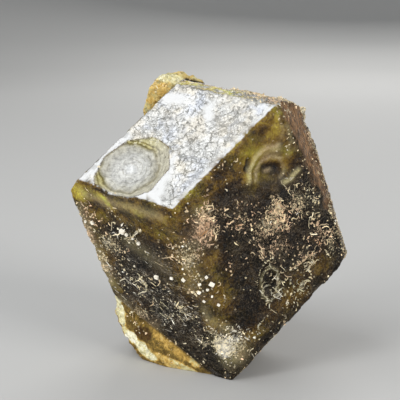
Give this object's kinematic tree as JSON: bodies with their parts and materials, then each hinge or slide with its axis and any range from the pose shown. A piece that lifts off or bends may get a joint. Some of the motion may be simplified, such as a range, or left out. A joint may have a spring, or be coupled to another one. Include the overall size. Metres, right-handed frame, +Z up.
{
  "type": "garnet crystal",
  "caption": "Single lopsided dodecahedral mineral crystal with stepped growth hollows and a flat broken base.",
  "frame": {"origin": "under the middle of the bounding box, on the broken flat that the crystal rests on", "axes": "+Z up, -Y towards the front ridge, +X to the right seen from the front"},
  "size_m": [0.0448, 0.035, 0.0469],
  "materials": {
    "garnet": "glassy olive-brown garnet, dull where mineral crust covers it"
  },
  "bodies": {
    "root": {"garnet_crystal": "garnet"}
  },
  "joints": []
}
